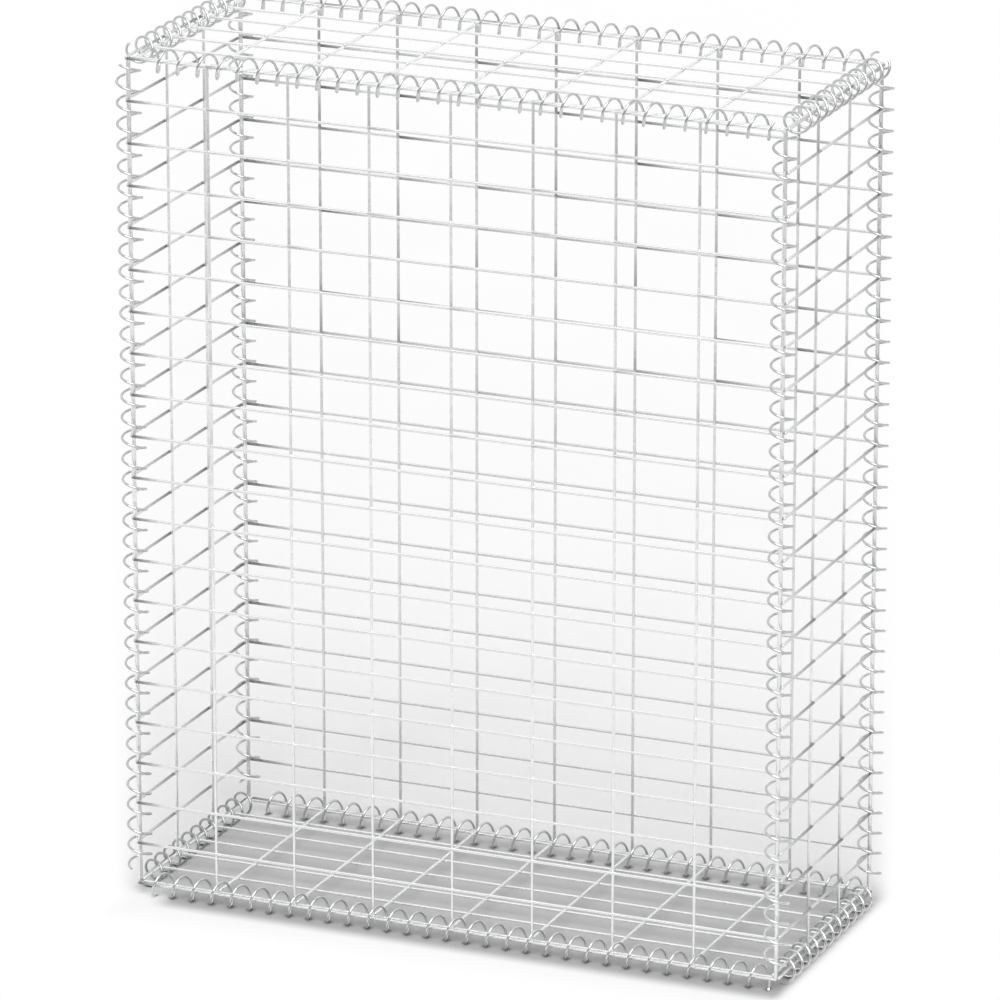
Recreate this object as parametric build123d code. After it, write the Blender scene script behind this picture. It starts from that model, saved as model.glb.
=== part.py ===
from build123d import *
import math
import os

# Gabion basket, empty: six flat panels of welded wire mesh, laced along all twelve edges by wire spirals.
# Millimetres, +Z up, the broad front towards -Y, origin on the floor under the middle of the basket.

# Mesh sizes run between the centres of the outermost wires: of the front and back across WIDTH and HEIGHT,
# of the ends across DEPTH and HEIGHT.
WIDTH = 800.0
DEPTH = 300.0
HEIGHT = 1000.0
CELL_LONG = 100.0
CELL_SHORT = 50.0
WIRE_D = 3.5

SPIRAL_OD = 30.0
SPIRAL_WIRE_D = 3.0
TURNS_PER_SHORT_CELL = 2
# Shares of a turn left off at the two ends of an edge, so that the three spirals of a corner pass each other.
START_FREE_SHARE = 0.75
FINISH_FREE_SHARE = 0.25

# Air between wires that lie side by side.
CLEARANCE = 0.3
PASS = WIRE_D + CLEARANCE

# Wires are square bars with the cross-section area of the round wire.
BAR = WIRE_D * math.sqrt(math.pi) / 2
SPIRAL_BAR = SPIRAL_WIRE_D * math.sqrt(math.pi) / 2
SPIRAL_R = (SPIRAL_OD - SPIRAL_BAR) / 2

# The panels nest: the ends stand between the front and the back, and the lid and base lie within all four.
# Their edge wires then lie side by side about the axes of the spirals.
FLAT_WIDTH = WIDTH - 2 * PASS
AXIS_X = WIDTH / 2
AXIS_Y = (DEPTH + PASS) / 2
AXIS_BASE = SPIRAL_OD / 2
AXIS_LID = AXIS_BASE + HEIGHT
MID_Z = (AXIS_BASE + AXIS_LID) / 2

# Each panel has its uprights in an inner layer and its level wires welded on outside them.
# The layers are measured outwards from the axes.
BROAD_INNER = PASS / 2
BROAD_OUTER = BROAD_INNER + BAR
END_INNER = 0
END_OUTER = END_INNER + BAR
FLAT_OUTER = 0
FLAT_INNER = FLAT_OUTER - BAR
BROAD_WELD = (BROAD_INNER + BROAD_OUTER) / 2
END_WELD = (END_INNER + END_OUTER) / 2
FLAT_WELD = (FLAT_INNER + FLAT_OUTER) / 2

# Whole cells only, so that cross wires on both sides of an edge stand opposite each other.
ROWS_PER_COLUMN = max(1, round(CELL_LONG / CELL_SHORT))
COLUMNS_WIDE = max(1, round(WIDTH / CELL_LONG))
COLUMNS_DEEP = max(1, round(DEPTH / CELL_LONG))
ROWS_HIGH = max(1, round(HEIGHT / CELL_SHORT))
ROWS_DEEP = COLUMNS_DEEP * ROWS_PER_COLUMN

# Turns of a spiral from the first cross wire of an edge to the last.
TURNS_HIGH = ROWS_HIGH * TURNS_PER_SHORT_CELL
TURNS_WIDE = COLUMNS_WIDE * ROWS_PER_COLUMN * TURNS_PER_SHORT_CELL
TURNS_DEEP = ROWS_DEEP * TURNS_PER_SHORT_CELL

EAST, NORTH, UP = Vector(1, 0, 0), Vector(0, 1, 0), Vector(0, 0, 1)
WEST, SOUTH, DOWN = -EAST, -NORTH, -UP


def mesh_panel(across, columns, up, rows):
    """Welded mesh lying flat and centred on its weld plane, with the outer side up."""
    upright = Pos(Z=-BAR / 2) * Box(BAR, up + BAR, BAR)
    level = Pos(Z=BAR / 2) * Box(across + BAR, BAR, BAR)
    uprights = [place * upright for place in GridLocations(across / columns, 0, columns + 1, 1)]
    levels = [place * level for place in GridLocations(0, up / rows, 1, rows + 1)]
    return Part() + uprights + levels


def spiral(first_wire, along, seat_side, wire_out, span, whole_turns):
    """Left-handed spiral along an edge, each strand seated beside the cross wires that run to seat_side.

    first_wire is the place on the edge's axis level with the first of those wires, span the way to the last,
    and wire_out how far outside the axis they lie.
    """
    pitch = span / whole_turns
    slope = pitch / (2 * math.pi * SPIRAL_R)
    rise = BAR / 2 + SPIRAL_BAR / 2 * math.hypot(1, slope) + CLEARANCE
    far_side = wire_out + BAR / 2
    seat_r = SPIRAL_R - math.copysign(SPIRAL_BAR / 2, far_side)
    seat_angle = math.degrees(math.asin(far_side / seat_r)) + 360 * rise / pitch
    turn = Helix(pitch, pitch, SPIRAL_R, lefthand=True)
    turns = round(whole_turns - START_FREE_SHARE - FINISH_FREE_SHARE)
    path = Wire([Pos(Z=index * pitch) * turn for index in range(turns)])
    section = Plane(origin=path @ 0, x_dir=EAST, z_dir=path % 0) * Rectangle(SPIRAL_BAR, SPIRAL_BAR)
    coil = Rot(Z=seat_angle - 360 * START_FREE_SHARE) * sweep(section, path=path, is_frenet=True)
    start = first_wire + along * (pitch * START_FREE_SHARE)
    return Plane(origin=start, x_dir=seat_side, z_dir=along) * coil


def upright_spiral(x, y, seat_side, wire_out):
    return spiral(Vector(x, y, AXIS_BASE), UP, seat_side, wire_out, HEIGHT, TURNS_HIGH)


def wide_spiral(y, z, seat_side, wire_out, span):
    return spiral(Vector(-span / 2, y, z), EAST, seat_side, wire_out, span, TURNS_WIDE)


def deep_spiral(x, z, seat_side, wire_out):
    return spiral(Vector(x, -DEPTH / 2, z), NORTH, seat_side, wire_out, DEPTH, TURNS_DEEP)


broad_wall = mesh_panel(WIDTH, COLUMNS_WIDE, HEIGHT, ROWS_HIGH)
end_wall = mesh_panel(DEPTH, COLUMNS_DEEP, HEIGHT, ROWS_HIGH)
flat_panel = mesh_panel(FLAT_WIDTH, COLUMNS_WIDE, DEPTH, ROWS_DEEP)

nodes = {
    "front_panel": Plane(origin=(0, -AXIS_Y - BROAD_WELD, MID_Z), x_dir=EAST, z_dir=SOUTH) * broad_wall,
    "back_panel": Plane(origin=(0, AXIS_Y + BROAD_WELD, MID_Z), x_dir=WEST, z_dir=NORTH) * broad_wall,
    "left_panel": Plane(origin=(-AXIS_X - END_WELD, 0, MID_Z), x_dir=SOUTH, z_dir=WEST) * end_wall,
    "right_panel": Plane(origin=(AXIS_X + END_WELD, 0, MID_Z), x_dir=NORTH, z_dir=EAST) * end_wall,
    "lid_panel": Plane(origin=(0, 0, AXIS_LID + FLAT_WELD), x_dir=EAST, z_dir=UP) * flat_panel,
    "base_panel": Plane(origin=(0, 0, AXIS_BASE - FLAT_WELD), x_dir=EAST, z_dir=DOWN) * flat_panel,
    "front_left_spiral": upright_spiral(-AXIS_X, -AXIS_Y, NORTH, END_OUTER),
    "front_right_spiral": upright_spiral(AXIS_X, -AXIS_Y, WEST, BROAD_OUTER),
    "back_right_spiral": upright_spiral(AXIS_X, AXIS_Y, SOUTH, END_OUTER),
    "back_left_spiral": upright_spiral(-AXIS_X, AXIS_Y, EAST, BROAD_OUTER),
    "lid_front_spiral": wide_spiral(-AXIS_Y, AXIS_LID, NORTH, FLAT_INNER, FLAT_WIDTH),
    "lid_back_spiral": wide_spiral(AXIS_Y, AXIS_LID, DOWN, BROAD_INNER, WIDTH),
    "base_front_spiral": wide_spiral(-AXIS_Y, AXIS_BASE, UP, BROAD_INNER, WIDTH),
    "base_back_spiral": wide_spiral(AXIS_Y, AXIS_BASE, SOUTH, FLAT_INNER, FLAT_WIDTH),
    "lid_left_spiral": deep_spiral(-AXIS_X, AXIS_LID, DOWN, END_INNER),
    "lid_right_spiral": deep_spiral(AXIS_X, AXIS_LID, WEST, FLAT_OUTER),
    "base_left_spiral": deep_spiral(-AXIS_X, AXIS_BASE, EAST, FLAT_OUTER),
    "base_right_spiral": deep_spiral(AXIS_X, AXIS_BASE, UP, END_INNER),
}

os.makedirs("parts", exist_ok=True)
for name, solid in nodes.items():
    export_step(solid, f"parts/{name}.step")
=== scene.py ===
import math

import bpy
import numpy as np
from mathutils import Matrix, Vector


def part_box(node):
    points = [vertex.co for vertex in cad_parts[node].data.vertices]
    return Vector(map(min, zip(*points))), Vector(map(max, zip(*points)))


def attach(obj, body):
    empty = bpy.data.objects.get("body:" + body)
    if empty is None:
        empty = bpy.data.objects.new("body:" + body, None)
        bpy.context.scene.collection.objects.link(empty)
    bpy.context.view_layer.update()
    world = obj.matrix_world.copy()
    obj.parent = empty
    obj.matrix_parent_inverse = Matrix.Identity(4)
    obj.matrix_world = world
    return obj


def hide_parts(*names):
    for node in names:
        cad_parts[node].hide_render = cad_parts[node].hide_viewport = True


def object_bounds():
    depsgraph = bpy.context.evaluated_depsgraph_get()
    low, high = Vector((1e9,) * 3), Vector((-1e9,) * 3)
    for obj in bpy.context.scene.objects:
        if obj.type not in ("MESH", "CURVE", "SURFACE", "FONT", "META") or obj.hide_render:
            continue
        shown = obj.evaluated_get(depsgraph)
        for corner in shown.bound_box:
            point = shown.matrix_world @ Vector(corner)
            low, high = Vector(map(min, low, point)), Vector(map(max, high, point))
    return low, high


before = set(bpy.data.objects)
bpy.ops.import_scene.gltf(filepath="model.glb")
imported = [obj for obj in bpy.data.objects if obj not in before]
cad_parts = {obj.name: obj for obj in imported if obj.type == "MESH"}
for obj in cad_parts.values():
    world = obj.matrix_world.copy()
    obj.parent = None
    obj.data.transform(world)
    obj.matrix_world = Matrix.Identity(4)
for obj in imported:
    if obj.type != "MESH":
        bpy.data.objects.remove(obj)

# Empty gabion basket: round galvanised wire in place of the frame's square bars, with a bead at every weld.
# Metres, in the frame's own axes. Places come from the frame's node boxes, and only what those don't hold is
# named here.

X, Y, Z = 0, 1, 2
LOW, HIGH = 0, 1
CAD_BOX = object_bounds()
CAD_MIDDLE = np.array((CAD_BOX[LOW] + CAD_BOX[HIGH]) / 2)

# Every wire is a tube of this many sides, with its cut ends chamfered.
WIRE_SIDES = 12
CUT_CHAMFER = 0.0004
# Edges that turn by more than this, such as a cut end's, stay sharp.
SHARP_ANGLE = math.radians(40)

# Mesh wire
WIRE_R = 0.00175
CELL_LONG = 0.100
CELL_SHORT = 0.050

# Weld beads: flattened balls, with this many rings between the poles and this many sides
WELD_R = 0.0019
WELD_HALF_THICKNESS = 0.0012
WELD_RINGS = 5
WELD_SIDES = 10

# Lacing spirals, left-handed
SPIRAL_WIRE_R = 0.0015
SPIRAL_PITCH = 0.025
SPIRAL_STEPS_PER_TURN = 32
# Side of the frame's square spiral bar, which has the same section area
SPIRAL_BAR = SPIRAL_WIRE_R * math.sqrt(math.pi)

# Painted light and shade is kept with each point of a wire, and the tint of the zinc is multiplied by it.
PAINTED_LIGHT_ATTRIBUTE = "painted_light"
PLAIN_PAINTED_LIGHT = 1.0
# Mesh wire gets painted shade, stretch by stretch between two welds: darker by a random amount at one end and
# clearing towards the other. For the level wires and for the uprights of each panel: the plain painted light
# (above 1 a painted highlight), the end of a stretch that is shaded, the least and the most painted light
# there, and the share of the stretch over which it clears.
START, FINISH = 0, 1
PAINTED_SHADE_STRETCHES = {
    "front_panel": ((1.05, START, 0.60, 1.05, 0.35), (1.00, START, 0.70, 1.00, 1.0)),
    "back_panel": ((0.92, START, 0.12, 0.75, 0.60), (0.86, START, 0.40, 0.86, 1.0)),
    "left_panel": ((0.95, FINISH, 0.20, 0.45, 0.95), (1.00, START, 0.70, 1.00, 1.0)),
    "right_panel": ((0.95, FINISH, 0.22, 0.55, 0.95), (0.96, START, 0.60, 0.96, 1.0)),
    "lid_panel": ((1.06, START, 0.85, 1.06, 0.40), (1.06, FINISH, 0.85, 1.06, 0.6)),
    "base_panel": ((1.08, START, 0.95, 1.08, 0.40), (1.08, FINISH, 0.95, 1.08, 0.6)),
}
PAINTED_SHADE_SEED = 7
# The clearing is shortened a little, so that the places where painted light is given stay apart.
CLEARING_KEPT = 0.98
# The front and the back get this painted shade above these heights only: where it begins, and where it is
# full
PAINTED_SHADE_HEIGHTS = (0.50, 0.66)
# Painted shade of their level wires beside the first weld on the left, at every height
CORNER_PAINTED_SHADE = 0.25
# Painted light and shade of some spirals low down (highlight above 1, shade below), and the heights between
# which it turns plain
SPIRAL_LOW_PAINTED_LIGHT = {
    "front_right_spiral": 1.25,
    "base_right_spiral": 1.20,
    "base_front_spiral": 1.10,
    "base_left_spiral": 0.70,
}
SPIRAL_LOW_HEIGHTS = (0.05, 0.30)

# Zinc: the tint of its dull and of its bright patches, and the roughness of each
MESH_TINTS = ((0.84, 0.85, 0.86), (0.92, 0.92, 0.92))
MESH_ROUGHNESS = (0.32, 0.20)
SPIRAL_TINTS = ((0.56, 0.57, 0.58), (0.68, 0.68, 0.68))
SPIRAL_ROUGHNESS = (0.26, 0.14)
# The patches are crystals mixed with clouds. They go from dull to bright over this span of the mix.
CRYSTAL_SCALE = 160
CLOUD_SCALE = 14
CLOUD_DETAIL = 5
CLOUD_SHARE = 0.65
PATCH_SPAN = (0.25, 0.75)
# Fine lines are drawn along the wire by a noise with these scales along it and around it.
LINE_SCALES = (12, 26, 1)
LINE_DETAIL = 3
LINE_BUMP = 0.05
# Weld beads are pitted. Their tint and roughness each go over their own span of the pits' noise.
PIT_SCALE = 900
PIT_DETAIL = 4
PIT_BUMP = 0.3
WELD_TINTS = ((0.46, 0.47, 0.48), (0.62, 0.63, 0.64))
WELD_TINT_SPAN = (0.3, 0.7)
WELD_ROUGHNESS = (0.38, 0.6)
WELD_ROUGHNESS_SPAN = (0, 1)
BUMP_DISTANCE = 0.0002

# Camera: standpoint, aim and lens found from the mesh wires in the photograph
CAMERA_AT = (3.333, -7.876, 3.262)
CAMERA_YAW = 0.4009
CAMERA_PITCH = 0.3133
CAMERA_FOCAL_PX = 7782
FRAME_PX = 1000
SENSOR_MM = 36.0
CLIP_END = 100

# Light: the key's direction, strength and apparent size, and how strong the white world is to the eye and as
# light on things
KEY_FROM = (0.34, -0.80, 1.0)
KEY_STRENGTH = 2.0
KEY_ANGLE = math.radians(50)
SEEN_STRENGTH = 1.0
FILL_STRENGTH = 0.55

# Floor of paper with a faint grain
FLOOR_HALF = 30.0
GRAIN_SCALE = 3
GRAIN_DETAIL = 2
GRAIN_SPAN = (0.3, 0.7)
PAPER_TINTS = ((0.93, 0.93, 0.93), (0.95, 0.95, 0.95))
# Sides of the basket's footprint, left, right, front and back: the axis, the end of the CAD box along it and,
# where the side can lean, the end of the box along Y from which it leans
SIDES = ((X, LOW, LOW), (X, HIGH, HIGH), (Y, LOW, None), (Y, HIGH, None))
# Painted shadow on the paper: how far out from each side each patch begins to fade and is gone, and its grey
# tone
UNDER_SHADOW_FADE = ((-0.070, -0.030), (-0.012, 0.008), (-0.006, 0.026), (-0.07, 0.08))
UNDER_SHADOW_TONE = 0.45
MIDDLE_SHADOW_FADE = ((-0.035, -0.008), (-0.06, -0.01), (-0.06, -0.01), (-0.06, -0.01))
MIDDLE_SHADOW_TONE = 0.57
AROUND_SHADOW_FADE = ((-0.06, 0.0), (-0.10, 0.01), (-0.05, 0.05), (-0.10, 0.40))
AROUND_SHADOW_TONE = 0.90
# Painted contact shadow: dark spots under the turns of the base spirals, with their fade measured from where
# a turn touches
CONTACT_SHADOW_FADE = (0.001, 0.0085)
CONTACT_SHADOW_TONE = 0.18
# How far out the floor is paper that takes the basket's shadow, before it turns into plain white
PAPER_FADE = ((-0.02, 0.012), (-0.015, 0.012), (0.03, 0.08), (0.30, 5.0))
# Behind the basket the paper and the painted shadow around it lean to the side that the shadow falls to, and
# their
# fades grow wider: both for each metre of the way back.
SHADOW_LEAN = -KEY_FROM[X] / KEY_FROM[Y]
SHADOW_SPREAD = 0.08

# Low grey walls around the basket, seen only in reflections
SURROUND_R = 4.0
SURROUND_HEIGHT = 1.9
SURROUND_SIDES = 32
# From and to which bearing in degrees, and the tone: a dark one on the camera's side, a lighter one opposite
SURROUNDS = ((-152, 18, 0.32), (18, 208, 0.72))

# Kinds of Mix node: the data type, the two sockets that are mixed and the one that gives the result. The
# sockets go by number, because their names repeat.
MIX_NUMBERS = ("FLOAT", 2, 3, 0)
MIX_COLOURS = ("RGBA", 6, 7, 2)


def new_object(name, data):
    """An object of this data, in the scene."""
    thing = bpy.data.objects.new(name, data)
    bpy.context.scene.collection.objects.link(thing)
    return thing


def doubled_ends(rows):
    """The rows with the first and the last of them twice."""
    return np.concatenate([rows[:1], rows, rows[-1:]])


class Wires:
    """Collects tubes and weld beads, and turns them into one mesh."""

    WIRE_SLOT = 0
    WELD_SLOT = 1

    def __init__(self):
        self.points = []
        self.painted_light = []
        self.count = 0
        self.faces = []
        self.face_uvs = []
        self.face_slots = []

    def _take_points(self, points, painted_light):
        """Adds points, and gives the number of the first."""
        first = self.count
        self.points.append(points)
        self.painted_light.append(painted_light)
        self.count += len(points)
        return first

    def _take_face(self, corners, uvs, slot):
        self.faces.append(corners)
        self.face_uvs.append(uvs)
        self.face_slots.append(slot)

    def tube(self, centres, normals, binormals, radius, lengths, painted_light):
        """A round wire along centres, chamfered at both cut ends."""
        tangents = np.cross(normals, binormals)
        rings = doubled_ends(centres)
        rings[1] += tangents[0] * CUT_CHAMFER
        rings[-2] -= tangents[-1] * CUT_CHAMFER
        along = doubled_ends(lengths)
        along[1] += CUT_CHAMFER
        along[-2] -= CUT_CHAMFER
        radii = np.full(len(rings), radius)
        radii[[0, -1]] = radius - CUT_CHAMFER
        turn = np.arange(WIRE_SIDES)[None, :, None] * math.tau / WIRE_SIDES
        across = doubled_ends(normals)[:, None]
        over = doubled_ends(binormals)[:, None]
        spokes = np.cos(turn) * across + np.sin(turn) * over
        skin = rings[:, None] + spokes * radii[:, None, None]
        first = self._take_points(skin.reshape(-1, 3), np.repeat(doubled_ends(painted_light), WIRE_SIDES))
        for ring in range(len(rings) - 1):
            low = first + ring * WIRE_SIDES
            high = low + WIRE_SIDES
            begin, end = along[ring], along[ring + 1]
            for side in range(WIRE_SIDES):
                after = (side + 1) % WIRE_SIDES
                corners = (low + side, low + after, high + after, high + side)
                here, there = side / WIRE_SIDES, (side + 1) / WIRE_SIDES
                uvs = ((begin, here), (begin, there), (end, there), (end, here))
                self._take_face(corners, uvs, self.WIRE_SLOT)
        last = first + (len(rings) - 1) * WIRE_SIDES
        start_cap = tuple(range(first + WIRE_SIDES - 1, first - 1, -1))
        end_cap = tuple(range(last, last + WIRE_SIDES))
        for cap, at in ((start_cap, along[0]), (end_cap, along[-1])):
            uvs = tuple((at, side / WIRE_SIDES) for side in range(WIRE_SIDES))
            self._take_face(cap, uvs, self.WIRE_SLOT)

    def straight(self, start, end, axis, stations, painted_light):
        """A straight mesh wire along one of the frame's axes, with its painted light and shade given at
        stations on the way.

        Each cut end takes the painted light of the brighter of the two stations next to it.
        """
        places = np.concatenate([[start[axis]], stations, [end[axis]]])
        centres = np.tile(start, (len(places), 1))
        centres[:, axis] = places
        _, normal, binormal = np.roll(np.eye(3), axis, axis=1)
        normals = np.tile(normal, (len(places), 1))
        binormals = np.tile(binormal, (len(places), 1))
        painted_light = np.concatenate([[painted_light[:2].max()], painted_light, [painted_light[-2:].max()]])
        self.tube(centres, normals, binormals, WIRE_R, places - places[0], painted_light)

    def weld(self, centre, axis):
        """The bead squeezed out where two wires are welded across each other; axis is the panel's normal."""
        rise = np.linspace(-1, 1, WELD_RINGS + 2)[1:-1] * math.pi / 2
        turn = np.arange(WELD_SIDES) * math.tau / WELD_SIDES
        belt = np.stack([np.outer(np.cos(rise), np.cos(turn)),
                         np.outer(np.cos(rise), np.sin(turn)),
                         np.outer(np.sin(rise), np.ones(WELD_SIDES))], axis=2)
        poles = np.array([[0, 0, -1.0], [0, 0, 1.0]])
        bead = np.vstack([belt.reshape(-1, 3), poles]) * (WELD_R, WELD_R, WELD_HALF_THICKNESS)
        painted_light = np.full(len(bead), PLAIN_PAINTED_LIGHT)
        first = self._take_points(centre + np.roll(bead, axis + 1, axis=1), painted_light)
        highest = first + (WELD_RINGS - 1) * WELD_SIDES
        south = highest + WELD_SIDES
        north = south + 1
        for side in range(WELD_SIDES):
            after = (side + 1) % WELD_SIDES
            loops = []
            for ring in range(first, highest, WELD_SIDES):
                above = ring + WELD_SIDES
                loops.append((ring + side, ring + after, above + after, above + side))
            loops.append((south, first + after, first + side))
            loops.append((north, highest + side, highest + after))
            for loop in loops:
                self._take_face(loop, ((0.0, 0.0),) * len(loop), self.WELD_SLOT)

    def to_object(self, name, materials):
        mesh = bpy.data.meshes.new(name)
        mesh.from_pydata(np.vstack(self.points).tolist(), [], self.faces)
        uv = mesh.uv_layers.new(name="wire")
        uv.data.foreach_set("uv", np.array([corner for uvs in self.face_uvs for corner in uvs]).ravel())
        painted_light = mesh.attributes.new(PAINTED_LIGHT_ATTRIBUTE, "FLOAT", "POINT")
        painted_light.data.foreach_set("value", np.concatenate(self.painted_light))
        for material in materials:
            mesh.materials.append(material)
        mesh.polygons.foreach_set("material_index", self.face_slots)
        mesh.shade_smooth()
        mesh.set_sharp_from_angle(angle=SHARP_ANGLE)
        mesh.update()
        return new_object(name, mesh)


def node_box(node):
    low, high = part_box(node)
    return np.array(low), np.array(high)


def place(axis_values):
    """A point from {axis: value}."""
    return np.array([axis_values[axis] for axis in (X, Y, Z)])


def stretches(welds, habit, strengths, chance):
    """Stations along a wire, three to a stretch between two welds, and the painted light and shade of the
    zinc at each.
    """
    plain, shaded_end, least, most, clears = habit
    stations, painted_light = [], []
    for first, second, strength in zip(welds[:-1], welds[1:], strengths):
        begin, end = first + WIRE_R, second - WIRE_R
        reach = clears * (end - begin) * CLEARING_KEPT
        # Painted shade: the shaded end of the stretch is darker by a random amount
        shaded = plain + (chance.uniform(least, most) - plain) * strength
        if shaded_end == START:
            stations += [begin, begin + reach, end]
            painted_light += [shaded, plain, plain]
        else:
            stations += [begin, end - reach, end]
            painted_light += [plain, plain, shaded]
    return np.array(stations), np.array(painted_light)


def painted_shade_by_height(heights):
    """How strongly the front and back get painted shade at given heights."""
    begins, full = PAINTED_SHADE_HEIGHTS
    return np.clip((heights - begins) / (full - begins), 0, 1)


def mesh_panel(node):
    """Round wires and weld beads of one welded panel, in the two layers that its node's box gives."""
    low, high = node_box(node)
    normal = int(np.argmin(high - low))
    upright = Y if normal == Z else Z
    level = X + Y + Z - normal - upright
    outward = np.sign(((low + high) / 2 - CAD_MIDDLE)[normal])
    bar = (high[normal] - low[normal]) / 2
    weld_plane = (low[normal] + high[normal]) / 2
    inner, outer = weld_plane - outward * bar / 2, weld_plane + outward * bar / 2
    columns = round((high[level] - low[level]) / CELL_LONG)
    rows = round((high[upright] - low[upright]) / CELL_SHORT)
    upright_at = np.linspace(low[level] + bar / 2, high[level] - bar / 2, columns + 1)
    level_at = np.linspace(low[upright] + bar / 2, high[upright] - bar / 2, rows + 1)
    broad = normal == Y
    level_habit, upright_habit = PAINTED_SHADE_STRETCHES[node]
    chance = np.random.default_rng([PAINTED_SHADE_SEED, sorted(PAINTED_SHADE_STRETCHES).index(node)])
    wires = Wires()
    # Painted shade on the uprights of the front and back grows with height; on the other panels it is full.
    strengths = painted_shade_by_height(level_at[1:]) if broad else np.ones(rows)
    for at in upright_at:
        start = place({normal: inner, level: at, upright: low[upright]})
        end = place({normal: inner, level: at, upright: high[upright]})
        stations, painted_light = stretches(level_at, upright_habit, strengths, chance)
        wires.straight(start, end, upright, stations, painted_light)
    for at in level_at:
        start = place({normal: outer, upright: at, level: low[level]})
        end = place({normal: outer, upright: at, level: high[level]})
        strength = painted_shade_by_height(at) if broad else 1.0
        stations, painted_light = stretches(upright_at, level_habit, np.full(columns, strength), chance)
        # On the front and back, painted shade on the level wire beside the first weld on the left
        if broad:
            painted_light[0] = CORNER_PAINTED_SHADE
        wires.straight(start, end, level, stations, painted_light)
    for across in upright_at:
        for along in level_at:
            wires.weld(place({normal: weld_plane, level: across, upright: along}), normal)
    return wires


def axes_across(along):
    """The two axes across a spiral's own, in the order in which its angle is measured."""
    return (along + 1) % 3, (along + 2) % 3


def spiral_turns(node):
    """Axis, middle, pitch, number of turns and phase of a node's spiral."""
    low, high = node_box(node)
    along = int(np.argmax(high - low))
    across, over = axes_across(along)
    middle = (low + high) / 2
    length = high[along] - low[along] - SPIRAL_BAR
    turns = round(length / SPIRAL_PITCH)
    pitch = length / turns
    skin = np.array([vertex.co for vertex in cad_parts[node].data.vertices]) - middle
    step = np.arctan2(skin[:, over], skin[:, across]) + math.tau * skin[:, along] / pitch
    phase = math.atan2(np.sin(step).mean(), np.cos(step).mean())
    return along, middle, pitch, turns, phase


def spiral(node):
    """One left-handed wire spiral, in step with the turns of its node."""
    low, high = node_box(node)
    along, middle, pitch, turns, phase = spiral_turns(node)
    across, over = axes_across(along)
    radius = (high[across] - low[across]) / 2 - SPIRAL_WIRE_R
    run = np.linspace(-turns / 2, turns / 2, turns * SPIRAL_STEPS_PER_TURN + 1)
    angle = phase - math.tau * run
    radial = np.zeros((len(run), 3))
    radial[:, across] = np.cos(angle)
    radial[:, over] = np.sin(angle)
    sideways = np.zeros((len(run), 3))
    sideways[:, across] = np.sin(angle)
    sideways[:, over] = -np.cos(angle)
    axis = np.eye(3)[along]
    tangent = axis * pitch + sideways * (math.tau * radius)
    turn_length = np.linalg.norm(tangent[0])
    tangent /= turn_length
    centres = middle + radial * radius + np.outer(run * pitch, axis)
    lengths = (run - run[0]) * turn_length
    # Painted highlight or painted shade low down on some spirals, turning plain higher up
    low_painted_light = SPIRAL_LOW_PAINTED_LIGHT.get(node, PLAIN_PAINTED_LIGHT)
    painted_light = np.interp(centres[:, Z], SPIRAL_LOW_HEIGHTS, (low_painted_light, PLAIN_PAINTED_LIGHT))
    wires = Wires()
    wires.tube(centres, radial, np.cross(tangent, radial), SPIRAL_WIRE_R, lengths, painted_light)
    return wires


def empty_tree(owner):
    """The node tree of a new material or world, with nothing in it."""
    owner.use_nodes = True
    owner.node_tree.nodes.clear()
    return owner.node_tree


def add_node(tree, kind, values, **settings):
    """A node with its settings, and with its sockets set to numbers or colours or linked to other outputs."""
    node = tree.nodes.new(kind)
    for setting, value in settings.items():
        setattr(node, setting, value)
    for socket, value in values.items():
        if isinstance(value, bpy.types.NodeSocket):
            tree.links.new(value, node.inputs[socket])
        else:
            node.inputs[socket].default_value = value
    return node


def grey(tone):
    return (tone, tone, tone, 1)


def calculate(tree, operation, *values):
    """The result of a Math node, from numbers or outputs."""
    return add_node(tree, "ShaderNodeMath", dict(enumerate(values)), operation=operation).outputs["Value"]


def map_range(tree, value, span, results, interpolation="LINEAR"):
    """Goes from the first result to the second while the value crosses the span."""
    values = {
        "Value": value,
        "From Min": span[0],
        "From Max": span[1],
        "To Min": results[0],
        "To Max": results[1],
    }
    return add_node(tree, "ShaderNodeMapRange", values, interpolation_type=interpolation).outputs["Result"]


def fade_out(tree, value, begins, gone):
    """1 as far as the fade begins, falling smoothly to 0 where it is gone."""
    return map_range(tree, value, (begins, gone), (1, 0), "SMOOTHSTEP")


def mix(tree, kind, share, first, second, blend="MIX"):
    """The first number or colour, mixed with a share of the second."""
    data_type, first_socket, second_socket, result = kind
    values = {"Factor": share, first_socket: first, second_socket: second}
    node = add_node(tree, "ShaderNodeMix", values, data_type=data_type, blend_type=blend)
    return node.outputs[result]


def mix_shaders(tree, share, first, second):
    return add_node(tree, "ShaderNodeMixShader", {0: share, 1: first, 2: second}).outputs["Shader"]


def ramp(tree, value, span, tints):
    """Goes from the first tint to the second while the value crosses the span."""
    node = add_node(tree, "ShaderNodeValToRGB", {"Fac": value})
    for stop, at, tint in zip(node.color_ramp.elements, span, tints):
        stop.position = at
        stop.color = (*tint, 1)
    return node.outputs["Color"]


def noise(tree, position, scale, detail):
    values = {"Vector": position, "Scale": scale, "Detail": detail}
    return add_node(tree, "ShaderNodeTexNoise", values).outputs["Fac"]


def metal(tree, colour, roughness, height, bump):
    """The metal shader that ends a material, with its skin raised by the height."""
    values = {"Strength": bump, "Distance": BUMP_DISTANCE, "Height": height}
    skin = add_node(tree, "ShaderNodeBump", values).outputs["Normal"]
    values = {"Base Color": colour, "Metallic": 1.0, "Roughness": roughness, "Normal": skin}
    shader = add_node(tree, "ShaderNodeBsdfPrincipled", values)
    add_node(tree, "ShaderNodeOutputMaterial", {"Surface": shader.outputs["BSDF"]})


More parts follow.
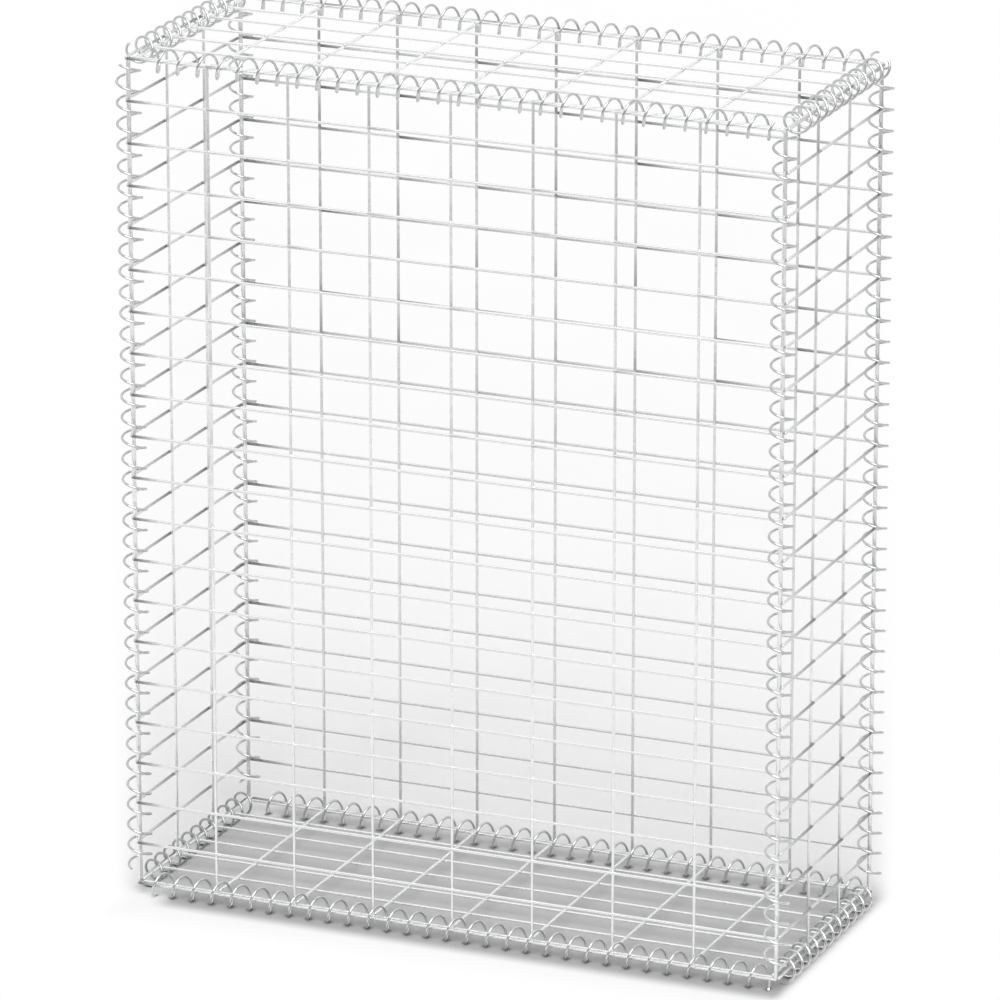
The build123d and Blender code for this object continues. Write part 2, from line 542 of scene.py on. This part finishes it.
def galvanised(name, tints, roughness):
    """Zinc-coated wire: faint crystal patches, painted light and shade in stretches along the wire, and fine
    lines drawn along it.
    """
    material = bpy.data.materials.new(name)
    tree = empty_tree(material)
    where = add_node(tree, "ShaderNodeTexCoord", {})
    values = {"Vector": where.outputs["Object"], "Scale": CRYSTAL_SCALE}
    cells = add_node(tree, "ShaderNodeTexVoronoi", values).outputs["Color"]
    crystals = add_node(tree, "ShaderNodeSeparateColor", {"Color": cells}).outputs["Red"]
    clouds = noise(tree, where.outputs["Object"], CLOUD_SCALE, CLOUD_DETAIL)
    patches = mix(tree, MIX_NUMBERS, CLOUD_SHARE, crystals, clouds)
    tint = ramp(tree, patches, PATCH_SPAN, tints)
    # The tint is multiplied by the painted light and shade kept with each point of the wire.
    painted_light = add_node(tree, "ShaderNodeAttribute", {}, attribute_name=PAINTED_LIGHT_ATTRIBUTE).outputs["Fac"]
    colour = mix(tree, MIX_COLOURS, 1, tint, painted_light, "MULTIPLY")
    values = {"Vector": where.outputs["UV"], "Scale": LINE_SCALES}
    drawn = add_node(tree, "ShaderNodeMapping", values).outputs["Vector"]
    lines = noise(tree, drawn, 1, LINE_DETAIL)
    metal(tree, colour, map_range(tree, patches, PATCH_SPAN, roughness), lines, LINE_BUMP)
    return material


def weld_zinc():
    """Weld beads: the same zinc, frosted and a little darker, with a pitted skin."""
    material = bpy.data.materials.new("weld_zinc")
    tree = empty_tree(material)
    where = add_node(tree, "ShaderNodeTexCoord", {})
    pits = noise(tree, where.outputs["Object"], PIT_SCALE, PIT_DETAIL)
    colour = ramp(tree, pits, WELD_TINT_SPAN, WELD_TINTS)
    metal(tree, colour, map_range(tree, pits, WELD_ROUGHNESS_SPAN, WELD_ROUGHNESS), pits, PIT_BUMP)
    return material


def dress():
    """Replaces every node of the frame by its wire."""
    mesh_zinc = galvanised("mesh_zinc", MESH_TINTS, MESH_ROUGHNESS)
    spiral_zinc = galvanised("spiral_zinc", SPIRAL_TINTS, SPIRAL_ROUGHNESS)
    beads = weld_zinc()
    for node in sorted(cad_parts):
        if node.endswith("_panel"):
            piece = mesh_panel(node).to_object(node.replace("_panel", "_mesh"), (mesh_zinc, beads))
        else:
            piece = spiral(node).to_object(node.replace("_spiral", "_coil"), (spiral_zinc,))
        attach(piece, "root")
        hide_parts(node)


def seen_directly(tree):
    """1 for what the camera, a reflection or a clear piece shows, and 0 for light that is cast on things."""
    path = add_node(tree, "ShaderNodeLightPath", {})
    shows = path.outputs["Is Camera Ray"]
    for ray in ("Is Glossy Ray", "Is Transmission Ray"):
        shows = calculate(tree, "MAXIMUM", shows, path.outputs[ray])
    return shows


def footprint(tree, position, fade, lean=0, spread=0):
    """1 within the basket's footprint, falling smoothly to 0 over the fade at each of its four sides.

    With a lean, its left side leans from the front corner on and its right side from the back corner on, and
    there the fade spreads with the distance.
    """
    split = add_node(tree, "ShaderNodeSeparateXYZ", {"Vector": position})
    within = 1
    for (axis, edge, corner), (begins, gone) in zip(SIDES, fade):
        outward = 1 if edge == HIGH else -1
        limit = CAD_BOX[edge][axis]
        nearest = limit + outward * begins
        farthest = limit + outward * gone
        reach = split.outputs[axis]
        if lean and corner is not None:
            behind = calculate(tree, "SUBTRACT", split.outputs[Y], CAD_BOX[corner][Y])
            behind = calculate(tree, "MAXIMUM", behind, 0)
            reach = calculate(tree, "MULTIPLY_ADD", behind, lean, reach)
            farthest = calculate(tree, "MULTIPLY_ADD", behind, outward * spread, farthest)
        within = calculate(tree, "MULTIPLY", within, fade_out(tree, reach, nearest, farthest))
    return within


def cast(tree, position, fade):
    """The footprint drawn out behind the basket, the way that the key light casts its shadow."""
    return footprint(tree, position, fade, SHADOW_LEAN, SHADOW_SPREAD)


def contact_shadows(tree, position, node):
    """Painted contact shadow: 1 where the turns of a base spiral touch the floor, falling to 0 close around
    each of them.
    """
    along, middle, pitch, turns, phase = spiral_turns(node)
    aside = Y if along == X else X
    # Where a turn is lowest, as an angle from the first of the axes across
    lowest_angle = -math.pi / 2 if along == X else math.pi
    split = add_node(tree, "ShaderNodeSeparateXYZ", {"Vector": position})
    forward = calculate(tree, "SUBTRACT", split.outputs[along], middle[along])
    sideways = calculate(tree, "SUBTRACT", split.outputs[aside], middle[aside])
    from_turn = calculate(tree, "SUBTRACT", forward, (phase - lowest_angle) / math.tau * pitch)
    from_turn = calculate(tree, "WRAP", from_turn, pitch / 2, -pitch / 2)
    squares = calculate(tree, "MULTIPLY", from_turn, from_turn)
    squares = calculate(tree, "MULTIPLY_ADD", sideways, sideways, squares)
    near = fade_out(tree, calculate(tree, "SQRT", squares), *CONTACT_SHADOW_FADE)
    covered = calculate(tree, "LESS_THAN", calculate(tree, "ABSOLUTE", forward), turns * pitch / 2)
    return calculate(tree, "MULTIPLY", near, covered)


def floor():
    """Pale studio floor, with painted shadow softly under and around the basket as in the photograph."""
    mesh = bpy.data.meshes.new("floor")
    half = FLOOR_HALF
    corners = [(-half, -half, 0), (half, -half, 0), (half, half, 0), (-half, half, 0)]
    mesh.from_pydata(corners, [], [(0, 1, 2, 3)])
    plane = new_object("floor", mesh)
    material = bpy.data.materials.new("floor_paper")
    mesh.materials.append(material)
    tree = empty_tree(material)
    where = add_node(tree, "ShaderNodeTexCoord", {}).outputs["Object"]
    colour = ramp(tree, noise(tree, where, GRAIN_SCALE, GRAIN_DETAIL), GRAIN_SPAN, PAPER_TINTS)
    # Painted shadow: grey patches under and around the basket, and dark spots under the turns of the base
    # spirals
    painted_shadows = [
        (cast(tree, where, AROUND_SHADOW_FADE), AROUND_SHADOW_TONE),
        (footprint(tree, where, UNDER_SHADOW_FADE), UNDER_SHADOW_TONE),
        (footprint(tree, where, MIDDLE_SHADOW_FADE), MIDDLE_SHADOW_TONE),
    ]
    for node in sorted(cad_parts):
        if node.startswith("base_") and node.endswith("_spiral"):
            painted_shadows.append((contact_shadows(tree, where, node), CONTACT_SHADOW_TONE))
    for share, tone in painted_shadows:
        colour = mix(tree, MIX_COLOURS, share, colour, grey(tone))
    paper = add_node(tree, "ShaderNodeBsdfDiffuse", {"Color": colour}).outputs["BSDF"]
    white = add_node(tree, "ShaderNodeEmission", {"Color": grey(1)}).outputs["Emission"]
    away = calculate(tree, "SUBTRACT", 1, cast(tree, where, PAPER_FADE))
    plain = calculate(tree, "MULTIPLY", seen_directly(tree), away)
    add_node(tree, "ShaderNodeOutputMaterial", {"Surface": mix_shaders(tree, plain, paper, white)})


def surround(first, last, tone):
    """Low curved grey wall that only reflections see, so that the bright wires have darker sides."""
    turn = np.radians(np.linspace(first, last, SURROUND_SIDES + 1))
    arc = np.stack([SURROUND_R * np.cos(turn), SURROUND_R * np.sin(turn)], axis=1)
    points = [(x, y, z) for z in (0.0, SURROUND_HEIGHT) for x, y in arc]
    over = len(turn)
    faces = [(side, side + 1, over + side + 1, over + side) for side in range(SURROUND_SIDES)]
    mesh = bpy.data.meshes.new("surround")
    mesh.from_pydata(points, [], faces)
    wall = new_object("surround", mesh)
    wall.visible_camera = False
    wall.visible_diffuse = False
    wall.visible_transmission = False
    wall.visible_shadow = False
    material = bpy.data.materials.new("surround_grey")
    mesh.materials.append(material)
    tree = empty_tree(material)
    glow = add_node(tree, "ShaderNodeEmission", {"Color": grey(tone)})
    add_node(tree, "ShaderNodeOutputMaterial", {"Surface": glow.outputs["Emission"]})


def background(tree, strength):
    values = {"Color": grey(1), "Strength": strength}
    return add_node(tree, "ShaderNodeBackground", values).outputs["Background"]


def studio():
    """White surroundings, a soft key from above and a camera at the photograph's standpoint."""
    world = bpy.data.worlds.new("studio")
    bpy.context.scene.world = world
    tree = empty_tree(world)
    fill = background(tree, FILL_STRENGTH)
    seen = background(tree, SEEN_STRENGTH)
    add_node(tree, "ShaderNodeOutputWorld", {"Surface": mix_shaders(tree, seen_directly(tree), fill, seen)})

    sun = bpy.data.lights.new("key", "SUN")
    sun.energy = KEY_STRENGTH
    sun.angle = KEY_ANGLE
    key = new_object("key", sun)
    key.rotation_euler = Vector(KEY_FROM).to_track_quat("Z", "Y").to_euler()

    lens = bpy.data.cameras.new("camera")
    lens.sensor_width = SENSOR_MM
    lens.lens = CAMERA_FOCAL_PX / FRAME_PX * SENSOR_MM
    lens.clip_end = CLIP_END
    camera = new_object("camera", lens)
    camera.location = CAMERA_AT
    camera.rotation_euler = (math.pi / 2 - CAMERA_PITCH, 0, CAMERA_YAW)
    bpy.context.scene.camera = camera
    bpy.context.scene.view_settings.view_transform = "Standard"


dress()
floor()
for first, last, tone in SURROUNDS:
    surround(first, last, tone)
studio()
